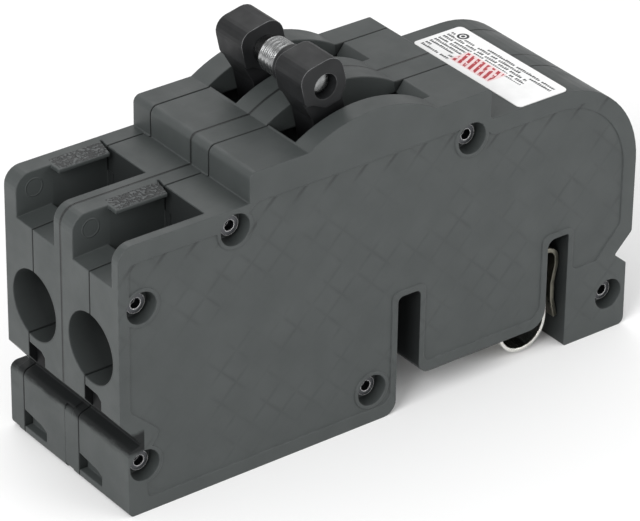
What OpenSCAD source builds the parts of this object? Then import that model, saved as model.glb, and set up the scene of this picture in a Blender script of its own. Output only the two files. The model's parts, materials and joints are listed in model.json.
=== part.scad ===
// Two-pole plug-in circuit breaker made of two thin poles side by side.
// X runs from the terminal end to the bus end, Y across the two poles, Z up.
// Every pole is drawn in its own frame: X from the terminal end face, Y from
// the outer face of its base, Z from the bottom. in_pole() then sets it down.

/* [Case] */
// Width of one pole
pole_w = 12.7; // [12.7:0.05:12.9]
// Length of the case, terminal end to bus end
case_len = 83.75; // [83.6:0.05:83.9]
// Height of the deck around the handles
deck_z = 43.75; // [43.6:0.05:44]
// Height of the terminal end's top
shoulder_z = 39.5; // [39.4:0.05:39.6]
// Height of the bus end's top, under the label
rear_z = 39.3; // [39.1:0.05:39.4]
// Thickness of the side walls
side_wall = 1.2; // [1.1:0.05:1.25]
// Width of the gap drawn along the parting lines
part_gap = 0.2; // [0.1:0.05:0.25]
// Depth of the shallow panel on each outer side
panel_depth = 0.15; // [0.1:0.05:0.2]

/* [Terminals] */
// Radius of the wire entry in the end wall
entry_r = 4.93; // [4.7:0.05:5]
// Height of the wire entry's axis
entry_z = 22.5; // [22.3:0.1:22.7]
// Radius of the lug's wire bore
lug_bore_r = 3.7; // [3.4:0.1:3.8]
// Radius of the terminal screw's shank
screw_r = 2.25; // [2:0.05:2.4]
// Running clearance around the terminal screw
screw_gap = 0.05; // [0.03:0.01:0.08]

/* [Handle] */
// Lean of the handles in the OFF position, towards the terminals
off_lean = 12.7; // [12:0.1:13.5]
// Turn of the handles from OFF to ON
on_turn = 34; // [33:0.5:34]
// Radius of the handle's drum
drum_r = 15.9; // [15.7:0.1:16]
// Radius of the handle's trunnions
trunnion_r = 1.8; // [1.6:0.05:1.9]
// Radial clearance of every turning fit
turn_gap = 0.05; // [0.03:0.01:0.08]
// Outer radius of the handle tie's spacer
spacer_r = 2.45; // [2.3:0.05:2.55]

/* [Contacts] */
// Swing of the contact arm between OFF and ON
arm_swing = 18; // [17:0.5:18]
// Air gap left between the contacts when ON
closed_gap = 0.05; // [0.04:0.01:0.1]
// Radius of the silver contacts
contact_r = 1.8; // [1.5:0.1:2]

/* [Fasteners] */
// Radius of the rivet counterbores
rivet_bore_r = 2.25; // [2.1:0.05:2.3]
// Depth of the rivet counterbores
rivet_bore_depth = 2.4; // [2.2:0.1:2.5]
// Radius of the rivet shanks
rivet_r = 1.1; // [1:0.05:1.2]

/* [Hidden] */
$fn = 64;

moulded = [0.34, 0.36, 0.36];
satin_black = [0.16, 0.16, 0.17];
tinned = [0.78, 0.76, 0.68];
copper = [0.72, 0.45, 0.28];
silver = [0.86, 0.87, 0.88];
steel = [0.62, 0.63, 0.65];
paper = [0.95, 0.95, 0.94];

near = 0;
far = 1;
far_step = 0.01;

// Depth of the base, measured across the pole, in each region of the case
base_main = 8.85;
base_shoulder = 10;
base_upper_end = 6.35;
base_lower_end = 7.8;
base_foot = 11.3;
end_region_x = 13.9;
foot_region_z = 12;
step_x = 19.83;
cavity_far = pole_w - side_wall;

// Terminal end
foot_x = 1.2;
foot_top_z = 9.7;
// The cover's foot reaches past the pole's far face, into a pocket of the next pole
nest_out = 1.7;
nest_x = 7.4;
nest_gap = 0.05;
groove = [3.2, 10.3];
end_bottom_z = 14.3;
trough_x1 = 13.95;
pocket_x0 = 5.4;
shelf_z = 33.9;
trough_near_y = 1.4;
trough_far_y = 10;
tab_y = 8.25;
tab_thick = 0.5;

// Notches in the bottom edge and the foot at the bus end
notch_top_z = 17.6;
notch_a = [43.72, 47.42];
notch_b = [68.95, 72.5];
mid_z = 4.55;
heel_x = 83.1;

// Deck, humps and handle slot
deck_x1 = 58.2;
hump = [39.1, 27.5];
hump_r = 19.2;
slot_x = [29.1, 49.4];
slot_y = [3.13, 8.85];

// Handle pivot and its arms
pivot = [39.1, 26.5];
crank = 4.2;
tie = [0.1, 24.3];
handle_y = [3.4, 8.6];
tip_y = [3.3, 8.95];
collar_y = 11.1;
end_recess = 1.2;
web_far_y = 6.8;
fork_y = [5.1, 6.9];
arm_y = [5.3, 6.7];

// Trip parts
trip_axis = [61.5, 34.2];
trip_shaft_r = 1;
cradle_y = [9.3, 10.5];
armature_axis = [29.05, 13.6];
armature_pin_r = 0.7;
spring_y = 8.1;

// Line end
bus_y = [1.5, 10.5];
contact_y = 6;
strap_top_z = 19.3;
fixed_contact_x = 61.8;
contact_h = 0.9;

rivets = [
    [17.63, 36.54], [3.42, 30.21], [3.65, 7.07],
    [39.68, 4.95], [55.19, 37.53], [80.07, 5.58]
];
column_r = 3;

// Corner lists are [x, z, corner radius]
outline = [
    [foot_x, 0, 0.8], [notch_a[0], 0, 2], [notch_a[0], notch_top_z, 0.8],
    [notch_a[1], notch_top_z, 0.8], [notch_a[1], mid_z, 1.7],
    [notch_b[0], mid_z, 2.65], [notch_b[0], notch_top_z, 1.2],
    [notch_b[1], notch_top_z, 0.4], [notch_b[1], 0, 0.3], [heel_x, 0, 1],
    [heel_x - 0.1, 9.6, 0.4], [80.9, 11.4, 0.3], [case_len, 14.3, 0.6],
    [case_len, rear_z, 13.9], [deck_x1, rear_z, 0.6], [deck_x1, deck_z, 0.5],
    [step_x, deck_z, 1], [step_x, shoulder_z, 0], [0, shoulder_z, 2.3],
    [0, end_bottom_z, 0.3], [groove[0], groove[1], 0.2],
    [foot_x, foot_top_z, 0.9]
];
main_chamber = [
    [15.6, 2, 1], [42.3, 2, 1], [42.3, 19.1, 0.6], [48.9, 19.1, 0.6],
    [48.9, 6.2, 1], [67.45, 6.2, 1.2], [67.45, 19.1, 0.6],
    [82, 19.1, 1.5], [82, 37.7, 12.3], [56.5, 37.7, 0.6], [56.5, 42.1, 0.5],
    [21.4, 42.1, 0.5], [21.4, 33, 0.5], [15.6, 33, 0.5]
];
lug_chamber = [
    [pocket_x0, 15.6, 0.4], [trough_x1, 15.6, 0.4], [trough_x1, 48, 0],
    [-4, 48, 0], [-4, shelf_z - 0.5, 0], [pocket_x0, shelf_z, 0]
];
panel = [
    [1.6, 15.6, 0.5], [1.6, 36.8, 1.5], [18.2, 36.8, 1], [21, 39.4, 1],
    [56.4, 39.4, 1], [58.6, 36.9, 1], [81.6, 36.9, 12.2], [81.6, 16, 1.5],
    [77.6, 11.6, 1], [73.4, 11.6, 1], [73.4, 18.5, 1.2], [68, 18.5, 1.2],
    [68, 6.2, 2], [48.3, 6.2, 1], [48.3, 18.5, 1.2], [42.8, 18.5, 1.2],
    [42.8, 2, 1.5], [4, 2, 1], [4, 8.6, 0.8], [6.2, 11.4, 1]
];

// ---- Geometry helpers ----

function unit(v) = v / norm(v);
function turned(p, a) = [p[0] * cos(a) + p[1] * sin(a), p[1] * cos(a) - p[0] * sin(a)];

// Points of the arc that rounds the corner q between p and r
function corner_arc(p, q, r, rad, steps = 6) =
    let (
        a = unit(p - q),
        b = unit(r - q),
        half = acos(a * b) / 2,
        mid = q + unit(a + b) * rad / sin(half),
        first = q + a * rad / tan(half) - mid,
        last = q + b * rad / tan(half) - mid,
        start = atan2(first[1], first[0]),
        raw = atan2(last[1], last[0]) - start,
        sweep = raw > 180 ? raw - 360 : raw < -180 ? raw + 360 : raw
    )
    [for (i = [0 : steps]) mid + rad * [cos(start + sweep * i / steps), sin(start + sweep * i / steps)]];

function xz(c) = [c[0], c[1]];
function rounded_corner(c, i, before, after) =
    c[i][2] == 0
        ? [xz(c[i])]
        : corner_arc(xz(c[before]), xz(c[i]), xz(c[after]), c[i][2], c[i][2] > 5 ? 16 : 6);
function rounded(c) = [
    for (i = [0 : len(c) - 1])
        each rounded_corner(c, i, (i + len(c) - 1) % len(c), (i + 1) % len(c))
];
function rounded_path(c) = [
    for (i = [0 : len(c) - 1])
        each (i == 0 || i == len(c) - 1) ? [xz(c[i])] : rounded_corner(c, i, i - 1, i + 1)
];

// Outline of a strip of constant thickness along an open path
function side_step(p, i) =
    let (d = unit(p[min(i + 1, len(p) - 1)] - p[max(i - 1, 0)])) [-d[1], d[0]];
function strip_outline(p, thick) = concat(
    [for (i = [0 : len(p) - 1]) p[i] + side_step(p, i) * thick / 2],
    [for (i = [len(p) - 1 : -1 : 0]) p[i] - side_step(p, i) * thick / 2]
);

// A flat shape in X and Z, given depth across the pole from y0 to y1
module slab(y0, y1) {
    translate([0, y1, 0])
        rotate([90, 0, 0])
            linear_extrude(y1 - y0)
                children();
}

module rod(at, r, y0, y1) {
    slab(y0, y1)
        translate(at)
            circle(r = r);
}

module strip(c, thick, y) {
    slab(y[0], y[1])
        polygon(strip_outline(rounded_path(c), thick));
}

module in_pole(n) {
    translate([-case_len / 2, n * pole_w - pole_w - nest_out / 2, 0])
        children();
}

// Turns a part about an axis across the pole; positive leans it to the bus end
module turned_about(at, angle) {
    translate([at[0], 0, at[1]])
        rotate([0, angle, 0])
            children();
}

// ---- Moulded case ----

module outline_flat() {
    polygon(rounded(outline));
    intersection() {
        translate(hump)
            circle(r = hump_r, $fn = 128);
        translate([hump[0] - 12, deck_z - 1])
            square([24, 6]);
    }
}

module chambers_flat() {
    difference() {
        union() {
            polygon(rounded(main_chamber));
            polygon(rounded(lug_chamber));
        }
        for (at = rivets)
            translate(at)
                circle(r = column_r);
    }
}

module land_flat() {
    difference() {
        outline_flat();
        chambers_flat();
    }
}

// The part of the outline that lies in a window of X and Z
module land_in(x, z) {
    intersection() {
        land_flat();
        translate([x[0], z[0]])
            square([x[1] - x[0], z[1] - z[0]]);
    }
}

// Walls between the two halves, each region with its own parting depth.
// half is "base" or "cover".
module walls(half) {
    regions = [
        [[-1, end_region_x], [-1, foot_region_z], base_foot],
        [[-1, end_region_x], [foot_region_z, entry_z], base_lower_end],
        [[-1, end_region_x], [entry_z, 60], base_upper_end],
        [[end_region_x, step_x - 0.2], [36, 60], base_shoulder],
        [[end_region_x, step_x - 0.2], [-1, 36], base_main],
        [[step_x - 0.2, 90], [-1, 60], base_main]
    ];
    for (r = regions)
        if (half == "base")
            slab(0, r[2] - part_gap / 2)
                land_in(r[0], r[1]);
        else
            slab(r[2] + part_gap / 2, pole_w)
                land_in(r[0], r[1]);
}

module rivet_holes() {
    for (at = rivets) {
        rod(at, rivet_r + 0.05, -1, pole_w + 1);
        rod(at, rivet_bore_r, -1, rivet_bore_depth);
        rod(at, rivet_bore_r, pole_w - rivet_bore_depth, pole_w + nest_out + 1);
    }
}

module nest_flat(gap) {
    polygon(rounded([
        [foot_x - gap, -gap, gap > 0 ? 0 : 1.1], [nest_x + gap, -gap, 0],
        [nest_x + gap, foot_top_z + gap, 0], [foot_x - gap, foot_top_z + gap, gap > 0 ? 0 : 1.1]
    ]));
}

module wire_entry() {
    translate([-1, pole_w / 2, entry_z])
        rotate([0, 90, 0])
            cylinder(r = entry_r, h = pocket_x0 + 2);
}

module handle_slot() {
    slot_len = slot_x[1] - slot_x[0];
    translate([slot_x[0], slot_y[0], 41])
        cube([slot_len, slot_y[1] - slot_y[0] + part_gap, 9]);
    slab(slot_y[0], slot_y[1])
        polygon([
            [slot_x[1] - 0.1, 41], [slot_x[1] - 0.1, deck_z + 6],
            [slot_x[1] + 1.2, deck_z + 6], [slot_x[1] + 1.2, deck_z + 0.01],
            [slot_x[1] - 0.1, deck_z - 1.6]
        ]);
}

// Ways through the inner walls for the straps, the jaw and its spring
module strap_ways() {
    translate([trough_x1 - 0.3, 2.8, 17.1])
        cube([2.2, 7, 1.6]);
    translate([67.2, 1.3, 14.4])
        cube([2.2, 9.4, 1]);
    translate([61.6, 1.3, 4])
        cube([1.7, 9.4, 2.6]);
    translate([21.5, 6.3, -1])
        cylinder(r = 1.8, h = 4);
}

module shaft_holes() {
    rod(pivot, trunnion_r + turn_gap, side_wall - 0.3, cavity_far + 0.3);
    rod(armature_axis, armature_pin_r, side_wall - 0.3, cavity_far + 0.3);
}

// nested: with the pocket that takes the foot of the pole in front
module base(nested) {
    color(moulded)
    difference() {
        union() {
            slab(0, side_wall)
                outline_flat();
            slab(0, trough_near_y)
                intersection() {
                    outline_flat();
                    translate([-1, shelf_z - 1])
                        square([trough_x1 + 1, 10]);
                }
            walls("base");
            rod(pivot, 3.2, 0.5, handle_y[0] - 0.2);
            rod(armature_axis, 1.8, 0.5, 2.7);
            rod(trip_axis, 2.2, 0.5, 3);
        }
        rivet_holes();
        wire_entry();
        handle_slot();
        strap_ways();
        shaft_holes();
        rod(trip_axis, trip_shaft_r + turn_gap, -1, 4);
        slab(-1, panel_depth)
            difference() {
                polygon(rounded(panel));
                for (at = rivets)
                    translate(at)
                        circle(r = rivet_bore_r + 0.5);
            }
        // Recess beside the parting line in the foot's end face
        translate([foot_x - 1, 0, 0])
            rotate([90, 0, 90])
                linear_extrude(2.2)
                    polygon([[6.1, 1.7], [6.3, 1.4], [12, 1.4], [12, 4.1], [7.2, 3.5], [6.1, 3]]);
        if (nested)
            slab(-1, nest_out + nest_gap)
                nest_flat(nest_gap);
        // Nick under the wire entry
        translate([-0.01, 0, 0])
            rotate([90, 0, 90])
                linear_extrude(1.1)
                    polygon([[4.2, 12.9], [8, 12.9], [8, 16.5], [7.7, 16.5], [5, 16.3], [4.2, 15.7]]);
    }
}

module cover() {
    color(moulded)
    difference() {
        union() {
            slab(cavity_far, pole_w)
                outline_flat();
            slab(trough_far_y, pole_w)
                intersection() {
                    outline_flat();
                    translate([-1, shelf_z - 3])
                        square([trough_x1 + 1, 12]);
                }
            slab(tab_y, trough_far_y + 0.1)
                translate([pocket_x0, shoulder_z - tab_thick])
                    square([trough_x1 - pocket_x0 + 0.05, tab_thick]);
            walls("cover");
            slab(base_foot + part_gap / 2, pole_w + nest_out)
                nest_flat(0);
            rod(pivot, 3.2, handle_y[1] + 0.2, pole_w - 0.5);
            rod(armature_axis, 1.8, 10.3, pole_w - 0.5);
            rod(trip_axis, 2.2, 10.8, pole_w - 0.5);
        }
        rivet_holes();
        wire_entry();
        handle_slot();
        strap_ways();
        shaft_holes();
        rod(trip_axis, trip_shaft_r + turn_gap, 10, pole_w + 1);
        slab(pole_w - panel_depth, pole_w + 1)
            difference() {
                polygon(rounded(panel));
                for (at = rivets)
                    translate(at)
                        circle(r = rivet_bore_r + 0.5);
            }
        // Slanted gap that ends the tab, across the top of the wall
        translate([0, 0, shoulder_z - 0.7])
            linear_extrude(3)
                polygon([
                    [13.05, 8], [trough_x1 + 0.01, 8], [trough_x1 + 0.01, trough_far_y + 0.15],
                    [trough_x1 + 0.3, 11.7], [trough_x1 - 0.05, 11.7]
                ]);
    }
}

// Blind ends for the trip shaft, so that it can't be seen from the sides
module near_base() {
    base(false);
    color(moulded)
        rod(trip_axis, trip_shaft_r + 0.3, panel_depth, 0.6);
}

module far_cover() {
    cover();
    color(moulded)
        rod(trip_axis, trip_shaft_r + 0.3, pole_w - 0.6, pole_w - panel_depth);
}

// ---- Terminal ----

module lug() {
    color(tinned)
    difference() {
        translate([6.3, 1.75, 17.2])
            cube([7.35, 9, 11.7]);
        translate([0, 6.25, entry_z])
            rotate([0, 90, 0])
                cylinder(r = lug_bore_r, h = 20);
        translate([9.65, 6.25, entry_z])
            cylinder(r = screw_r + screw_gap, h = 20);
    }
}

// A slotted grub screw, deep in the trough
module terminal_screw() {
    color(steel)
    translate([9.65, 6.25, 0])
    difference() {
        translate([0, 0, 26.4])
            cylinder(r = screw_r, h = 5.2);
        translate([-4, -0.4, 30.5])
            cube([8, 0.8, 2]);
    }
}

// ---- Thermal and magnetic trip ----

module load_strap() {
    color(copper)
    difference() {
        strip([
            [trough_x1 - 0.3, 17.9, 0], [18.6, 17.9, 0.9], [18.6, 5.2, 0.9],
            [24.6, 5.2, 0.9], [24.6, 11, 0]
        ], 0.9, [3.3, 9.3]);
        translate([21.5, 6.3, 3])
            cylinder(r = 1.45, h = 4);
    }
}

module calibration_screw() {
    color(steel)
    translate([21.5, 6.3, 0]) {
        translate([0, 0, 2.2])
            cylinder(r = 1.4, h = 6);
        difference() {
            translate([0, 0, 0.8])
                cylinder(r = 1.7, h = 1.4);
            translate([-2, -0.25, 0])
                cube([4, 0.5, 1.3]);
        }
    }
}

module bimetal() {
    color(steel)
        translate([25.1, 4.2, 6.5])
            cube([0.9, 4.2, 24]);
}

module yoke() {
    color(steel)
    difference() {
        translate([23.2, 2.6, 15])
            cube([4.4, 7.4, 10]);
        translate([24.3, 3.5, 14])
            cube([5, 5.6, 12]);
    }
}

module armature() {
    color(steel)
    difference() {
        union() {
            translate([28.6, 3, 13.6])
                cube([0.9, 7, 17.9]);
            rod(armature_axis, 1.3, 3, 10);
        }
        rod(armature_axis, armature_pin_r + turn_gap, 2, 11);
        translate([28, 4.6, 25])
            cube([2, 2.8, 5]);
    }
}

module armature_pin() {
    color(steel)
        rod(armature_axis, armature_pin_r, side_wall - 0.25, cavity_far + 0.25);
}

module cradle() {
    arms = [
        [trip_axis[0], trip_axis[1], 0], [55.5, 32.5, 2], [50.3, 32.8, 2],
        [46, 36.7, 2], [35, 37, 2], [32.1, 34.2, 1.6], [31.4, 30.9, 0]
    ];
    color(steel) {
        difference() {
            union() {
                strip(arms, 2.4, cradle_y);
                rod(trip_axis, 2.1, cradle_y[0], cradle_y[1]);
            }
            rod(trip_axis, trip_shaft_r, 5, 12);
        }
        rod([47.5, 35.4], 0.5, 7.3, cradle_y[0] + 0.1);
    }
}

module trip_shaft() {
    color(steel)
        translate([-case_len / 2, -nest_out / 2, 0])
            rod(trip_axis, trip_shaft_r, side_wall - pole_w, pole_w - side_wall);
}

// ---- Handle ----

module wedge_flat(a0, a1, r) {
    polygon(concat([[0, 0]], [for (i = [0 : 8]) let (a = a0 + (a1 - a0) * i / 8) r * [sin(a), cos(a)]]));
}

module drum_flat(r, thick, a0, a1) {
    intersection() {
        difference() {
            circle(r = r, $fn = 96);
            circle(r = r - thick, $fn = 96);
        }
        wedge_flat(a0, a1, r * 1.3);
    }
}

module handle_tip_flat() {
    polygon(rounded([
        [-2.3, 13, 0], [2.7, 13, 0], [2.7, 21.2, 1.5], [3.25, 24, 2],
        [3.2, 27.9, 2.3], [-3.35, 27.9, 1.9], [-3.35, 23.4, 1.5], [-2.3, 20.1, 1.2]
    ]));
}

module handle(collar) {
    color(satin_black)
    turned_about(pivot, -off_lean)
    difference() {
        union() {
            slab(handle_y[0], handle_y[1]) {
                circle(r = 6);
                drum_flat(drum_r, 1.5, 3, 53);
                drum_flat(13.2, 1.3, -40, 0);
            }
            slab(handle_y[0], web_far_y)
                translate([-2.3, 3])
                    square([5, 12.5]);
            slab(handle_y[0] + 0.7, handle_y[1] - 0.1)
                handle_tip_flat();
            slab(tip_y[0], tip_y[1])
                intersection() {
                    handle_tip_flat();
                    polygon([
                        [-5, 23.3], [-2.3, 22.7], [-0.5, 21.3], [1.8, 21.3], [2.9, 22.7], [5, 23],
                        [5, 29], [-5, 29]
                    ]);
                }
            if (collar)
                rod(tie, 2.6, tip_y[1] - 0.1, collar_y);
            rod([0, 0], trunnion_r, side_wall - 0.25, cavity_far + 0.25);
        }
        slab(fork_y[0], fork_y[1])
            polygon([[-2.7, -7], [7, -7], [7, 2.2], [-2.7, -1.6]]);
        rod(tie, 1.1, 0, 14);
        rod(tie, 1.75, 0, tip_y[0] + end_recess + 0.7);
        if (!collar)
            rod(tie, 1.75, tip_y[1] - end_recess - 0.7, 14);
    }
    color(satin_black)
        turned_about(pivot, -off_lean)
            rod([0, -crank], 0.8, fork_y[0] - 0.2, fork_y[1] + 0.2);
}

module tie_pin() {
    y0 = tip_y[0] + end_recess;
    y1 = pole_w + tip_y[1] - end_recess;
    color(silver)
        translate([-case_len / 2, -pole_w - nest_out / 2, 0])
            turned_about(pivot, -off_lean) {
                rod(tie, 1.05, y0 + 0.1, y1 - 0.1);
                rod(tie, 1.25, y0, y0 + 0.65);
                rod(tie, 1.25, y1 - 0.65, y1);
            }
}

// Threaded along most of its length, with a plain neck at the far handle
module tie_spacer() {
    ridge = 0.25;
    rings = 5;
    pitch = 0.68;
    threaded = rings * pitch;
    len = pole_w + tip_y[0] - collar_y - 0.1;
    profile = concat(
        [[1.15, 0], [spacer_r - ridge, 0]],
        [for (i = [0 : rings - 1]) each [
            [spacer_r, pitch * (i + 0.35)], [spacer_r, pitch * (i + 0.6)],
            [spacer_r - ridge, pitch * (i + 1)]
        ]],
        [[1.95, threaded], [1.95, len], [1.15, len]]
    );
    color(silver)
        translate([-case_len / 2, collar_y + 0.05 - pole_w - nest_out / 2, 0])
            turned_about(pivot, -off_lean)
                translate([tie[0], 0, tie[1]])
                    rotate([-90, 0, 0])
                        rotate_extrude()
                            polygon(profile);
}

// ---- Contact arm: drawn closed about its own eye, then swung open ----

eye_off = pivot + turned([0, -crank], -off_lean);
eye_on = pivot + turned([0, -crank], on_turn - off_lean);
closed_z = strap_top_z + contact_h + closed_gap - eye_on[1];
closed_x = fixed_contact_x - eye_on[0];

module swung_open() {
    turned_about(eye_off, -arm_swing)
        children();
}

module contact_arm() {
    top = closed_z + contact_h;
    color(copper)
    swung_open() {
        difference() {
            slab(arm_y[0], arm_y[1])
                union() {
                    circle(r = 2);
                    polygon(rounded([
                        [0, -1.9, 0], [6, -1.7, 2], [closed_x - 3, top, 2], [closed_x + 2, top, 0],
                        [closed_x + 2, top + 1.8, 0.8], [6, 1.5, 3], [0, 1.9, 0]
                    ]));
                }
            rod([0, 0], 0.8 + turn_gap, 4, 8);
        }
        translate([closed_x - 2.1, contact_y - 1.9, top])
            cube([4, 3.8, 0.9]);
        rod([14, 0.2], 0.5, arm_y[1] - 0.1, 9);
    }
}

module moving_contact() {
    color(silver)
        swung_open()
            translate([closed_x, contact_y, closed_z])
                cylinder(r = contact_r, h = contact_h);
}

module fixed_contact() {
    color(silver)
        translate([fixed_contact_x, contact_y, strap_top_z])
            cylinder(r = contact_r, h = contact_h);
}

// Coil between the arm's peg and the cradle's peg
spring_foot = eye_off + turned([14, 0.2], -arm_swing);
spring_head = [47.5, 35.4];
coil_turns = 8;
coil_r = 0.85;
wire_r = 0.24;
ring_sides = 6;
ring_steps = 12;

function coil_point(s, base_z, length) =
    [coil_r * cos(s * 360 * coil_turns), coil_r * sin(s * 360 * coil_turns), base_z + s * length];

module coil(length) {
    count = coil_turns * ring_steps;
    rings = [for (i = [0 : count])
        let (a = i * 360 / ring_steps, c = coil_point(i / count, 0, length))
        [for (k = [0 : ring_sides - 1])
            let (b = k * 360 / ring_sides)
            c + wire_r * [cos(a) * cos(b), sin(a) * cos(b), sin(b)]]];
    points = [for (r = rings) each r];
    faces = concat(
        [[for (k = [ring_sides - 1 : -1 : 0]) k]],
        [for (i = [0 : count - 1], k = [0 : ring_sides - 1])
            let (j = (k + 1) % ring_sides, p = i * ring_sides, q = p + ring_sides)
            [p + k, p + j, q + j, q + k]],
        [[for (k = [0 : ring_sides - 1]) count * ring_sides + k]]
    );
    polyhedron(points, faces);
}

module toggle_spring() {
    gap = 0.95;
    way = spring_head - spring_foot;
    full = norm(way);
    lean = atan2(way[0], way[1]);
    color(steel)
        translate([0, spring_y, 0])
            turned_about(spring_foot, lean)
                translate([0, 0, gap])
                    coil(full - 2 * gap);
}

module braid() {
    route = [
        [26.15, 28, 0], [31.2, 27.2, 2], [32.6, 21, 3], [35.5, 18.2, 2],
        [39.6, 18.6, 1.5], [43.4, 20.75, 1.2], [46.6, 20.9, 1.2], [48.5, 22.7, 0]
    ];
    color(copper)
        strip(route, 1.4, [5.3, 6.7]);
}

// ---- Line end ----

module line_jaw() {
    color(tinned)
        strip([
            [58.6, strap_top_z - 0.3, 0], [66.3, strap_top_z - 0.3, 0.7], [66.3, 14.9, 0.7],
            [71.9, 14.9, 1.6], [71.9, 12.4, 2.5], [71.3, 9.6, 3], [71.35, 7.2, 3], [72.05, 4.2, 0]
        ], 0.6, bus_y);
}

module jaw_spring() {
    color(tinned)
        strip([
            [65.5, 9.4, 0], [62.45, 9.4, 0.8], [62.45, 1, 3.8], [70.15, 1, 3.8],
            [70.1, 6.6, 2], [69.65, 8.6, 2], [69.75, 10.8, 2], [69.35, 13.4, 0]
        ], 0.45, bus_y);
}

module arc_plates() {
    plate_pitch = 2.9;
    color(steel)
    for (i = [0 : 3])
        difference() {
            translate([68.2 + i * plate_pitch, 1.5, 20.5])
                cube([0.9, 9.7, 13]);
            translate([67.5 + i * plate_pitch, 6, 20])
                rotate([0, 90, 0])
                    rotate([0, 0, 45])
                        translate([-4.4, -4.4, 0])
                            cube([5.2, 5.2, 3]);
        }
}

// ---- Shared pieces ----

module case_rivets() {
    recess = 1.4;
    head = rivet_r + 0.3;
    y0 = recess - pole_w;
    y1 = pole_w - recess;
    color(silver)
    translate([-case_len / 2, -nest_out / 2, 0])
    for (at = rivets)
        difference() {
            union() {
                rod(at, rivet_r, y0, y1);
                rod(at, head, y0, rivet_bore_depth - pole_w);
                rod(at, head, pole_w - rivet_bore_depth, y1);
            }
            rod(at, 0.75, y0 - 1, y0 + 1.2);
            rod(at, 0.75, y1 - 1.2, y1 + 1);
        }
}

module label() {
    color(paper)
        translate([-case_len / 2, -pole_w - nest_out / 2, rear_z])
            linear_extrude(0.12)
                polygon(rounded([[63.2, 0.4, 0.7], [71.5, 0.4, 0.7], [71.5, 22.9, 0.7], [63.2, 22.9, 0.7]]));
}

in_pole(near) near_base();
in_pole(near) cover();  // near_cover
in_pole(near) handle(true);  // near_handle
in_pole(near) lug();  // near_lug
in_pole(near) terminal_screw();  // near_terminal_screw
in_pole(near) load_strap();  // near_load_strap
in_pole(near) bimetal();  // near_bimetal
in_pole(near) yoke();  // near_yoke
in_pole(near) armature();  // near_armature
in_pole(near) armature_pin();  // near_armature_pin
in_pole(near) calibration_screw();  // near_calibration_screw
in_pole(near) cradle();  // near_cradle
in_pole(near) toggle_spring();  // near_toggle_spring
in_pole(near) contact_arm();  // near_contact_arm
in_pole(near) moving_contact();  // near_moving_contact
in_pole(near) fixed_contact();  // near_fixed_contact
in_pole(near) line_jaw();  // near_line_jaw
in_pole(near) jaw_spring();  // near_jaw_spring
in_pole(near) arc_plates();  // near_arc_plates
in_pole(near) braid();  // near_braid
in_pole(far) base(true);  // far_base
in_pole(far) far_cover();
in_pole(far) handle(false);  // far_handle
in_pole(far) lug();  // far_lug
in_pole(far) terminal_screw();  // far_terminal_screw
in_pole(far) load_strap();  // far_load_strap
in_pole(far) bimetal();  // far_bimetal
in_pole(far) yoke();  // far_yoke
in_pole(far) armature();  // far_armature
in_pole(far) armature_pin();  // far_armature_pin
in_pole(far) calibration_screw();  // far_calibration_screw
in_pole(far) cradle();  // far_cradle
in_pole(far) toggle_spring();  // far_toggle_spring
in_pole(far) contact_arm();  // far_contact_arm
in_pole(far) moving_contact();  // far_moving_contact
in_pole(far) fixed_contact();  // far_fixed_contact
in_pole(far) line_jaw();  // far_line_jaw
in_pole(far) jaw_spring();  // far_jaw_spring
in_pole(far) arc_plates();  // far_arc_plates
in_pole(far) braid();  // far_braid
tie_pin();
tie_spacer();
case_rivets();
trip_shaft();  // common_trip_shaft
label();
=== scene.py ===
import json
import bmesh
import bpy
from mathutils import Matrix, Vector


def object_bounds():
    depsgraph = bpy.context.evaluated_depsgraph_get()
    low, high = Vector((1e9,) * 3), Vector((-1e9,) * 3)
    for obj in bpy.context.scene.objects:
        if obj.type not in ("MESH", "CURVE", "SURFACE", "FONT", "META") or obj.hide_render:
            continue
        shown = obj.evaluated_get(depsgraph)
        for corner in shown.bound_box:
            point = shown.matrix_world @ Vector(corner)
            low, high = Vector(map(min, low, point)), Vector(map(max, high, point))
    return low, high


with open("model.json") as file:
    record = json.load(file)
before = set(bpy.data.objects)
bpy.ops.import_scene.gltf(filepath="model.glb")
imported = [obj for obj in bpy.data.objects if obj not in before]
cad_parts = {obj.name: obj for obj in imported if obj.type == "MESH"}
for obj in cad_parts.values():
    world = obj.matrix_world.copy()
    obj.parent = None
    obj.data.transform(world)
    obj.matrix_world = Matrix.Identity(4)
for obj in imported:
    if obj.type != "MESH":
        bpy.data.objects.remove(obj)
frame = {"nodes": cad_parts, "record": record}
size_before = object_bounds()

MM = 0.001
BOX_LOW, BOX_HIGH = size_before

# Places on the case are in millimetres: X from the terminal end, Y from the joint between the
# poles, "rel_y" across one pole from its near side, and Z from the bottom.
POLE_W = 12.7
CASE_LEN = round((BOX_HIGH[0] - BOX_LOW[0]) / MM, 2)
# The foot of the far pole's cover stands out this far, so the joint between the poles isn't centred
NEST_OUT = round((BOX_HIGH[1] - BOX_LOW[1]) / MM - 2 * POLE_W, 2)
TERMINAL_LEN = 13.9
TAB_Z = 39.3
ENTRY_Y = 6.25
ENTRY_Z = 22.5
RIB_LEN = 7.4
RIB_TOP = 9.75
SLOT_TOP = 17.75


# ---- Shader graphs ----

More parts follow.
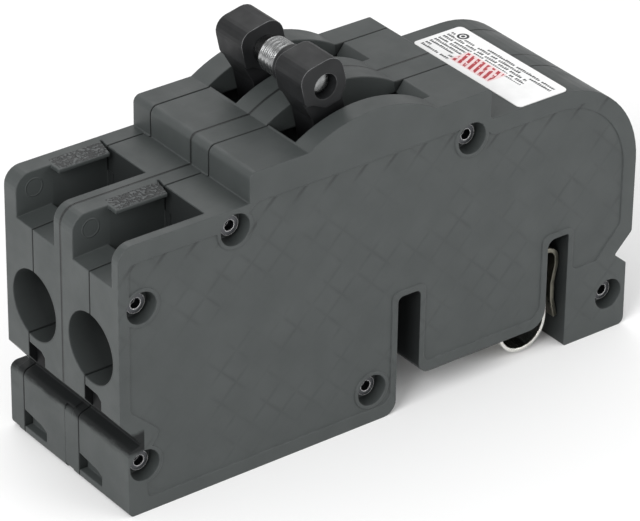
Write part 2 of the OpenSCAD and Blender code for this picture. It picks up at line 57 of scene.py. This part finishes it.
class Graph:
    """A new node material: add() makes a node, sets its inputs and links those that are sockets."""

    def __init__(self, name):
        self.mat = bpy.data.materials.new(name)
        self.mat.use_nodes = True
        self.tree = self.mat.node_tree
        self.tree.nodes.clear()
        self.out = self.tree.nodes.new("ShaderNodeOutputMaterial")
        self.coords = self.tree.nodes.new("ShaderNodeTexCoord").outputs["Object"]

    def add(self, kind, inputs=None, **settings):
        node = self.tree.nodes.new("ShaderNode" + kind)
        for key, value in settings.items():
            setattr(node, key, value)
        for key, value in (inputs or {}).items():
            if isinstance(value, bpy.types.NodeSocket):
                self.tree.links.new(value, node.inputs[key])
            else:
                node.inputs[key].default_value = value
        return node

    def math(self, operation, a, b=0.0, c=0.0):
        return self.add("Math", {0: a, 1: b, 2: c}, operation=operation).outputs[0]

    def noise(self, scale, detail=2.0, rough=0.5, stretch=None):
        at = self.coords
        if stretch:
            at = self.add("Mapping", {"Vector": at, "Scale": stretch}).outputs[0]
        node = self.add("TexNoise", {"Vector": at, "Scale": scale, "Detail": detail, "Roughness": rough})
        return node.outputs["Fac"]

    def ramp(self, value, low, high, to_low=0.0, to_high=1.0):
        node = self.add("MapRange", {"Value": value, 1: low, 2: high, 3: to_low, 4: to_high})
        return node.outputs[0]

    def mix(self, factor, a, b):
        node = self.add("Mix", {0: factor, 6: a, 7: b}, data_type="RGBA")
        return node.outputs[2]

    def bump(self, height, distance, strength, normal=None):
        inputs = {"Height": height, "Distance": distance, "Strength": strength}
        if normal is not None:
            inputs["Normal"] = normal
        return self.add("Bump", inputs).outputs[0]

    def edges(self, radius, samples=6):
        """A mask, 0 on flat ground and towards 1 on the mesh's sharp edges, and the rounded normal."""
        bevel = self.add("Bevel", {"Radius": radius}, samples=samples)
        normal = self.add("NewGeometry").outputs["True Normal"]
        dot = self.add("VectorMath", {0: bevel.outputs[0], 1: normal}, operation="DOT_PRODUCT")
        return self.ramp(dot.outputs["Value"], 0.995, 0.8), bevel.outputs[0]

    def inside(self, value, low, high):
        above = self.math("GREATER_THAN", value, low)
        return self.math("MULTIPLY", above, self.math("LESS_THAN", value, high))

    def all_of(self, *masks):
        result = masks[0]
        for mask in masks[1:]:
            result = self.math("MULTIPLY", result, mask)
        return result

    def any_of(self, *masks):
        result = masks[0]
        for mask in masks[1:]:
            result = self.math("MAXIMUM", result, mask)
        return result

    def distance(self, u, v, centre):
        du = self.math("SUBTRACT", u, centre[0])
        dv = self.math("SUBTRACT", v, centre[1])
        squares = self.math("ADD", self.math("MULTIPLY", du, du), self.math("MULTIPLY", dv, dv))
        return self.math("SQRT", squares)

    def place(self):
        """X from the terminal end, Y from the joint between the poles, and Z, all in millimetres."""
        split = self.add("SeparateXYZ", {0: self.coords})
        x = self.math("MULTIPLY_ADD", split.outputs["X"], 1000.0, CASE_LEN / 2)
        y = self.math("MULTIPLY_ADD", split.outputs["Y"], 1000.0, NEST_OUT / 2)
        return x, y, self.math("MULTIPLY", split.outputs["Z"], 1000.0)

    def finish(self, **inputs):
        shader = self.add("BsdfPrincipled", inputs)
        self.tree.links.new(shader.outputs[0], self.out.inputs[0])
        return self.mat


def rgb(r, g, b):
    return (r, g, b, 1.0)


# ---- Marks and painted shade on the moulded case ----

def diamond(g, x, y, z):
    """The shallow diamond pattern moulded into both outer sides: pillows between crossing grooves."""
    pitch = 4.76
    groove_w = 0.13
    outer_y = 12.4
    border_low = 2.4
    border_end = 81.4
    border_top = 36.8
    deck_rise = 2.35
    across = []
    for sign, offset in ((-1, 3.65), (1, 3.45)):
        along = g.math("MULTIPLY_ADD", z, float(sign), x)
        cell = g.math("FRACT", g.math("MULTIPLY_ADD", along, 1 / pitch, 20 - offset / pitch))
        across.append(g.math("ABSOLUTE", g.math("SUBTRACT", cell, 0.5)))
    edge = g.math("SUBTRACT", 0.5, g.math("MAXIMUM", across[0], across[1]))
    # Only inside the border of the panel, which is higher along the deck
    top = g.math("MULTIPLY_ADD", g.inside(x, 21.0, 57.0), deck_rise, border_top)
    panel = g.all_of(
        g.math("GREATER_THAN", g.math("ABSOLUTE", y), outer_y),
        g.math("LESS_THAN", z, top),
        g.math("GREATER_THAN", z, border_low),
        g.math("LESS_THAN", x, border_end))
    # Worn away in patches, but one family of grooves is deep where it runs out at the upper border
    wear_and_highlight = g.ramp(g.noise(170, 3.0), 0.45, 0.7, 0.06, 0.7)
    border = g.ramp(g.math("SUBTRACT", top, z), 0.7, 2.2, 1.5, 0.0)
    groove = g.ramp(edge, 0.0, groove_w, 1.0, 0.0)
    dash = g.ramp(g.math("SUBTRACT", 0.5, across[0]), 0.0, groove_w, 1.0, 0.0)
    return g.all_of(panel, g.any_of(g.all_of(groove, wear_and_highlight), g.all_of(dash, border)))


def knurl(g, x, rel_y, z):
    """Raised grains on the top of each terminal's tab, and the area that they cover."""
    area = g.all_of(g.math("GREATER_THAN", z, TAB_Z), g.inside(x, 5.8, 13.7), g.inside(rel_y, 8.4, 11.3))
    grain = g.ramp(g.noise(2700, 1.5, 0.5), 0.46, 0.58)
    return g.all_of(area, grain), area


def ring_mark(g, x, rel_y, z):
    """The ring an ejector pin leaves on the inner wall beside each terminal."""
    radius = 1.25
    line_w = 0.16
    away = g.distance(x, z, (2.78, 37.1))
    band = g.math("ABSOLUTE", g.math("SUBTRACT", away, radius))
    return g.all_of(g.ramp(band, 0.0, line_w, 1.0, 0.0), g.inside(rel_y, 9.9, 10.1))


def parting(g, x, rel_y, z):
    """1 along the line where a base and its cover meet; the line steps over near the terminal."""
    main_y, shoulder_step = 8.85, 1.15
    end_y, low_step, foot_step = 6.35, 1.45, 3.5
    foot_z, shoulder_z = 12.0, 36.0
    shoulder_end = 19.63
    low = g.math("LESS_THAN", z, ENTRY_Z)
    foot = g.math("LESS_THAN", z, foot_z)
    at_end = g.math("MULTIPLY_ADD", low, low_step, g.math("MULTIPLY_ADD", foot, foot_step, end_y))
    shoulder = g.all_of(g.inside(x, TERMINAL_LEN, shoulder_end), g.math("GREATER_THAN", z, shoulder_z))
    at_main = g.math("MULTIPLY_ADD", shoulder, shoulder_step, main_y)
    end = g.math("LESS_THAN", x, TERMINAL_LEN)
    plane = g.math("MULTIPLY_ADD", end, g.math("SUBTRACT", at_end, at_main), at_main)
    away = g.math("ABSOLUTE", g.math("SUBTRACT", rel_y, plane))
    return g.ramp(away, 0.07, 0.22, 1.0, 0.0)


def seams(g, x, y, rel_y, z):
    """The joint between the two poles, left out on the ribs of the foot, and the parting lines."""
    rib = g.all_of(g.math("LESS_THAN", x, RIB_LEN), g.math("LESS_THAN", z, RIB_TOP))
    joint = g.ramp(g.math("ABSOLUTE", y), 0.1, 0.3, 1.0, 0.0)
    joint = g.all_of(joint, g.math("SUBTRACT", 1.0, rib))
    return g.any_of(joint, g.math("MULTIPLY", parting(g, x, rel_y, z), 0.8))


def groove_dark_line(g, x, z):
    """A ragged dark line along the groove over the foot."""
    groove_z = 10.7
    ragged = g.noise(420, 5.0, 0.75, (1, 0.45, 1.6))
    ragged = g.math("MULTIPLY_ADD", ragged, 1.8, g.math("ABSOLUTE", g.math("SUBTRACT", z, groove_z)))
    return g.all_of(g.math("LESS_THAN", x, 3.6), g.ramp(ragged, 2.1, 2.9, 1.0, 0.0))


def trough_dark(g, x, rel_y, z, facing):
    """Painted shade in the troughs over the terminal screws, darker with depth and most on the wall away from
    the end.
    """
    trough = g.all_of(g.inside(rel_y, 1.3, 10.2), g.inside(z, 28.0, TAB_Z))
    deep = g.all_of(trough, g.inside(x, 5.6, 13.98), g.ramp(z, 30.0, 39.5, 0.4, 0.0))
    back_wall = g.all_of(trough, g.inside(x, 13.6, 14.3), g.math("LESS_THAN", facing["X"], -0.5))
    return g.any_of(deep, g.math("MULTIPLY", back_wall, 0.65))


def entry_dark(g, x, rel_y, z):
    """Painted shade in the wire entries, deepening inwards, and black painted shade in the nick under each
    one.
    """
    radius = 5.05
    nick = g.all_of(g.inside(x, 0.05, 3.0), g.inside(z, 12.0, 17.0), g.inside(rel_y, 3.9, 8.3))
    away = g.distance(rel_y, z, (ENTRY_Y, ENTRY_Z))
    entry = g.all_of(
        g.math("LESS_THAN", away, radius), g.math("LESS_THAN", x, 8.0), g.ramp(x, 0.05, 3.5, 0.2, 0.6))
    return g.any_of(entry, nick)


def slot_dark(g, x, z, facing):
    """Painted shade on the inner faces of the rail slot and the bus slot."""
    slots = g.any_of(g.inside(x, 43.6, 47.55), g.math("MULTIPLY", g.inside(x, 68.85, 72.6), 0.75))
    inner = g.math("LESS_THAN", g.math("ABSOLUTE", facing["Y"]), 0.5)
    return g.all_of(slots, inner, g.math("LESS_THAN", z, SLOT_TOP), g.ramp(z, 0.0, 12.0, 0.7, 1.0))


# ---- Materials ----

def moulded():
    g = Graph("moulded_case")
    x, y, z = g.place()
    rel_y = g.math("MULTIPLY", g.math("FRACT", g.math("DIVIDE", y, POLE_W)), POLE_W)
    facing = g.add("SeparateXYZ", {0: g.add("NewGeometry").outputs["Normal"]}).outputs
    edge, rounded = g.edges(0.28 * MM)
    mottle = g.noise(160, 4.0, 0.6)
    color = g.mix(g.ramp(mottle, 0.3, 0.7), rgb(0.0392, 0.0445, 0.044), rgb(0.048, 0.0538, 0.0532))
    scuff = g.ramp(g.noise(700, 3.0), 0.45, 0.75)
    wear = g.math("MULTIPLY", edge, g.math("MULTIPLY_ADD", scuff, 0.35, 0.1))
    color = g.mix(wear, color, rgb(0.10, 0.106, 0.11))
    groove = diamond(g, x, y, z)
    color = g.mix(g.math("MULTIPLY", groove, 0.5), color, rgb(0.016, 0.018, 0.0185))
    grains, tab = knurl(g, x, rel_y, z)
    color = g.mix(g.math("MULTIPLY", g.math("SUBTRACT", tab, grains), 0.9), color, rgb(0.007, 0.0075, 0.008))
    color = g.mix(g.math("MULTIPLY", grains, 0.5), color, rgb(0.085, 0.09, 0.092))
    color = g.mix(g.math("MULTIPLY", seams(g, x, y, rel_y, z), 0.9), color, rgb(0.006, 0.007, 0.007))
    # Painted shade in the troughs, wire entries, nicks and slots, together with the ragged dark line in the
    # groove over the foot; the specular level is lowered with it
    dirt_and_painted_shade = g.any_of(
        g.math("MULTIPLY", groove_dark_line(g, x, z), 0.85),
        trough_dark(g, x, rel_y, z, facing),
        entry_dark(g, x, rel_y, z),
        g.math("MULTIPLY", slot_dark(g, x, z, facing), 0.8))
    color = g.mix(dirt_and_painted_shade, color, rgb(0.006, 0.0064, 0.0068))
    clear_of_dark_marks = g.math("SUBTRACT", 1.0, g.math("MULTIPLY", dirt_and_painted_shade, 0.8))
    rough = g.ramp(g.noise(240, 3.0), 0.3, 0.7, 0.42, 0.56)
    normal = g.bump(g.noise(2600, 2.0), 0.02 * MM, 0.35, rounded)
    normal = g.bump(g.noise(120, 2.0), 0.12 * MM, 0.25, normal)
    normal = g.bump(g.math("SUBTRACT", 1.0, groove), 0.06 * MM, 0.8, normal)
    normal = g.bump(grains, 0.14 * MM, 1.0, normal)
    normal = g.bump(ring_mark(g, x, rel_y, z), 0.08 * MM, 0.8, normal)
    return g.finish(**{"Base Color": color, "Roughness": rough, "Normal": normal,
                       "Specular IOR Level": g.math("MULTIPLY", clear_of_dark_marks, 0.34)})


def handle_plastic():
    """Painted highlight along the upper edges of the tips, and painted shade darker down towards the drum."""
    g = Graph("handle_plastic")
    z = g.place()[2]
    edge, rounded = g.edges(0.18 * MM)
    color = g.mix(g.ramp(g.noise(300, 3.0), 0.3, 0.7), rgb(0.0085, 0.009, 0.0095), rgb(0.014, 0.0145, 0.0155))
    # Painted shade: below the tips the colour darkens to near black and the specular level drops, down
    # towards the drum
    low = g.ramp(z, 42.5, 48.0, 1.0, 0.0)
    patches = g.ramp(g.noise(900, 2.0), 0.35, 0.7, 0.5, 1.0)
    # Painted highlight: bright in patches along the edges of the tips, fading out lower down
    wear_and_highlight = g.all_of(edge, patches, g.ramp(z, 49.5, 52.3, 0.1, 1.0))
    color = g.mix(g.math("MULTIPLY", low, 0.85), color, rgb(0.002, 0.002, 0.0022))
    color = g.mix(wear_and_highlight, color, rgb(0.26, 0.264, 0.27))
    rough = g.ramp(g.noise(400, 3.0), 0.3, 0.7, 0.42, 0.55)
    normal = g.bump(g.noise(1800, 3.0), 0.02 * MM, 0.4, rounded)
    return g.finish(**{"Base Color": color, "Roughness": rough, "Normal": normal,
                       "Specular IOR Level": g.math("MULTIPLY_ADD", low, -0.17, 0.22)})


def zinc():
    """Bright on the tie between the handles, dull, dark and grimy on the rivet heads down in their bores; a
    painted highlight brightens the edges and is white on the heads' rims.
    """
    head_y = 9.8
    g = Graph("zinc_plated")
    y = g.place()[1]
    edge, rounded = g.edges(0.2 * MM, 4)
    tone = g.noise(1200, 4.0, 0.6)
    color = g.mix(g.ramp(tone, 0.3, 0.7), rgb(0.17, 0.175, 0.175), rgb(0.34, 0.345, 0.345))
    head = g.math("GREATER_THAN", g.math("ABSOLUTE", y), head_y)
    dull = g.math("MULTIPLY", head, g.math("SUBTRACT", 1.0, edge))
    rim = g.math("MULTIPLY", head, edge)
    color = g.mix(g.math("MULTIPLY", dull, 0.92), color, rgb(0.07, 0.072, 0.078))
    color = g.mix(g.math("MULTIPLY", g.ramp(g.noise(350, 3.0), 0.5, 0.75), 0.5), color, rgb(0.1, 0.1, 0.105))
    # Painted highlight on the edges, white and barely metallic along the rivet heads' rims
    color = g.mix(g.math("MULTIPLY", edge, 0.7), color, rgb(0.74, 0.74, 0.75))
    color = g.mix(rim, color, rgb(0.95, 0.95, 0.95))
    rough = g.math("MULTIPLY_ADD", head, 0.12, g.ramp(g.noise(700, 3.0), 0.3, 0.7, 0.16, 0.3))
    normal = g.bump(tone, 0.01 * MM, 0.4, rounded)
    metallic = g.math("MULTIPLY_ADD", rim, -0.9, 1.0)
    return g.finish(**{"Base Color": color, "Metallic": metallic, "Roughness": rough, "Normal": normal})


def metal(name, low, high, rough=(0.2, 0.35), grain=900, dirt_and_painted_shade=0.3):
    """A metal that varies between two tones, with grime in patches and brighter edges."""
    g = Graph(name)
    edge, rounded = g.edges(0.15 * MM, 4)
    tone = g.noise(grain, 4.0, 0.6)
    color = g.mix(g.ramp(tone, 0.3, 0.7), rgb(*low), rgb(*high))
    grime = g.math("MULTIPLY", g.ramp(g.noise(350, 3.0), 0.5, 0.75), dirt_and_painted_shade)
    color = g.mix(grime, color, rgb(*(c * 0.35 for c in low)))
    color = g.mix(g.math("MULTIPLY", edge, 0.5), color, rgb(*(min(1.0, c * 1.2) for c in high)))
    roughness = g.ramp(g.noise(grain * 0.6, 3.0, 0.5), 0.3, 0.7, rough[0], rough[1])
    normal = g.bump(tone, 0.01 * MM, 0.4, rounded)
    return g.finish(**{"Base Color": color, "Metallic": 1.0, "Roughness": roughness, "Normal": normal})


def bar_rows(g, down, along):
    """Rows of tiny bars of chance heights with chance gaps, kept to four blocks; nothing can be read."""
    row = g.math("DIVIDE", down, 0.74)
    column = g.math("DIVIDE", along, 0.4)
    row_number = g.math("FLOOR", row)
    cell = g.add("CombineXYZ", {0: g.math("FLOOR", column), 1: row_number, 2: 0.0}).outputs[0]
    chance = g.add("TexWhiteNoise", {"Vector": cell}, noise_dimensions="3D").outputs["Value"]
    group = g.math("FLOOR", g.math("DIVIDE", along, 1.9))
    group = g.add("CombineXYZ", {0: group, 1: row_number, 2: 4.0}).outputs[0]
    gap = g.add("TexWhiteNoise", {"Vector": group}, noise_dimensions="3D").outputs["Value"]
    bar = g.all_of(
        g.inside(g.math("FRACT", column), 0.05, 0.8),
        g.math("LESS_THAN", g.math("FRACT", row), g.math("MULTIPLY_ADD", chance, 0.25, 0.42)),
        g.math("GREATER_THAN", chance, 0.1),
        g.math("GREATER_THAN", gap, 0.08))
    # Each block runs from its first to its second value down, and from its third to its fourth along
    blocks = [(0.5, 6.3, 0.8, 6.5), (4.6, 7.3, 6.5, 17.4), (5.9, 7.3, 17.3, 21.4), (3.9, 4.7, 14.6, 17.8)]
    areas = []
    for low_down, high_down, low_along, high_along in blocks:
        areas.append(g.all_of(g.inside(down, low_down, high_down), g.inside(along, low_along, high_along)))
    return g.all_of(bar, g.any_of(*areas))


def printed_label():
    """White paper with rows of tiny bars, a ring round a dot and a block of slanted red strokes."""
    first_x, first_y = 63.2, 10.2
    g = Graph("label_paper")
    x, y, _ = g.place()
    down = g.math("SUBTRACT", x, first_x)
    along = g.math("SUBTRACT", first_y, y)
    away = g.distance(down, along, (6.6, 2.6))
    clear = g.math("GREATER_THAN", away, 1.15)
    ring = g.inside(away, 0.5, 0.85)
    dot = g.math("LESS_THAN", away, 0.3)
    ink = g.any_of(g.all_of(bar_rows(g, down, along), clear), ring, dot)
    slant = g.math("FRACT", g.math("MULTIPLY_ADD", down, 0.42, g.math("MULTIPLY", along, 0.95)))
    strokes = g.all_of(
        g.inside(slant, 0.12, 0.66), g.inside(down, 1.3, 4.2), g.inside(along, 6.8, 14.4),
        g.math("GREATER_THAN", g.noise(1500, 1.0), 0.4))
    tint = g.all_of(g.inside(down, 1.1, 4.4), g.inside(along, 6.5, 14.7))
    color = g.mix(g.ramp(g.noise(500, 4.0), 0.3, 0.7), rgb(0.76, 0.76, 0.76), rgb(0.82, 0.82, 0.82))
    color = g.mix(g.math("MULTIPLY", tint, 0.3), color, rgb(0.70, 0.16, 0.17))
    color = g.mix(g.math("MULTIPLY", strokes, 0.95), color, rgb(0.36, 0.008, 0.02))
    color = g.mix(g.math("MULTIPLY", ink, 0.97), color, rgb(0.008, 0.01, 0.012))
    normal = g.bump(g.noise(3000, 3.0), 0.01 * MM, 0.3)
    rough = g.ramp(g.noise(300, 2.0), 0.3, 0.7, 0.4, 0.55)
    return g.finish(**{"Base Color": color, "Roughness": rough, "Normal": normal, "Specular IOR Level": 0.2})


MATERIALS = {
    "moulded_case": moulded(),
    "handle_plastic": handle_plastic(),
    "tinned_metal": metal("tinned_metal", (0.14, 0.135, 0.11), (0.27, 0.26, 0.215), (0.25, 0.4), 700),
    "plated_steel": metal("plated_steel", (0.30, 0.31, 0.33), (0.46, 0.47, 0.49), (0.28, 0.42)),
    "spring_steel": metal("spring_steel", (0.62, 0.61, 0.58), (0.84, 0.83, 0.79), (0.12, 0.24), 700, 0.2),
    "copper": metal("copper", (0.45, 0.19, 0.10), (0.66, 0.32, 0.19), (0.25, 0.45)),
    "bimetal_strip": metal("bimetal_strip", (0.36, 0.33, 0.27), (0.5, 0.46, 0.4), (0.25, 0.4)),
    "silver_contact": metal("silver_contact", (0.7, 0.69, 0.66), (0.85, 0.84, 0.82), (0.15, 0.3)),
    "zinc_plated": zinc(),
    "label_paper": printed_label(),
}

for entry in frame["record"]["subparts"]:
    mesh = frame["nodes"][entry["node"]].data
    mesh.materials.clear()
    mesh.materials.append(MATERIALS[entry["material_slot"]])


# ---- Stage, light and camera ----

def add_floor():
    mesh = bpy.data.meshes.new("floor")
    bm = bmesh.new()
    bmesh.ops.create_grid(bm, x_segments=1, y_segments=1, size=3)
    bm.to_mesh(mesh)
    bm.free()
    floor = bpy.data.objects.new("floor", mesh)
    bpy.context.scene.collection.objects.link(floor)
    g = Graph("floor_pale")
    tone = g.mix(g.ramp(g.noise(3, 2.0), 0.3, 0.7), rgb(0.86, 0.86, 0.86), rgb(0.9, 0.9, 0.9))
    rough = g.ramp(g.noise(5, 2.0), 0.3, 0.7, 0.8, 0.9)
    mesh.materials.append(g.finish(**{"Base Color": tone, "Roughness": rough}))


def add_area(name, at, target, size, power):
    data = bpy.data.lights.new(name, "AREA")
    data.shape = "RECTANGLE"
    data.size, data.size_y = size
    data.energy = power
    light = bpy.data.objects.new(name, data)
    bpy.context.scene.collection.objects.link(light)
    light.location = at
    light.rotation_euler = (Vector(target) - Vector(at)).to_track_quat("-Z", "Y").to_euler()


def add_world(level):
    world = bpy.data.worlds.new("studio")
    world.use_nodes = True
    background = world.node_tree.nodes["Background"]
    background.inputs["Color"].default_value = rgb(1, 1, 1)
    background.inputs["Strength"].default_value = level
    bpy.context.scene.world = world


def add_camera(at, right, up):
    data = bpy.data.cameras.new("camera")
    data.lens = 226.1
    data.sensor_width = 36
    data.clip_start = 0.01
    data.clip_end = 20
    camera = bpy.data.objects.new("camera", data)
    bpy.context.scene.collection.objects.link(camera)
    back = right.cross(up)
    camera.matrix_world = Matrix([
        [right.x, up.x, back.x, at[0]],
        [right.y, up.y, back.y, at[1]],
        [right.z, up.z, back.z, at[2]],
        [0, 0, 0, 1],
    ])
    bpy.context.scene.camera = camera


add_floor()
add_world(0.75)
add_area("key", (-0.6, -0.25, 0.45), (0, 0, 0.02), (0.4, 0.4), 4.5)
add_area("fill", (0.4, -0.5, 0.25), (0, 0, 0.02), (0.5, 0.5), 1.7)
add_area("rim", (0.15, 0.5, 0.5), (0, 0, 0.03), (0.4, 0.3), 0.8)
add_camera(
    (-0.277145, -0.36339, 0.28526),
    Vector((0.80024, -0.59955, 0.01245)), Vector((0.29461, 0.41114, 0.86265)))
bpy.context.scene.view_settings.view_transform = "Standard"
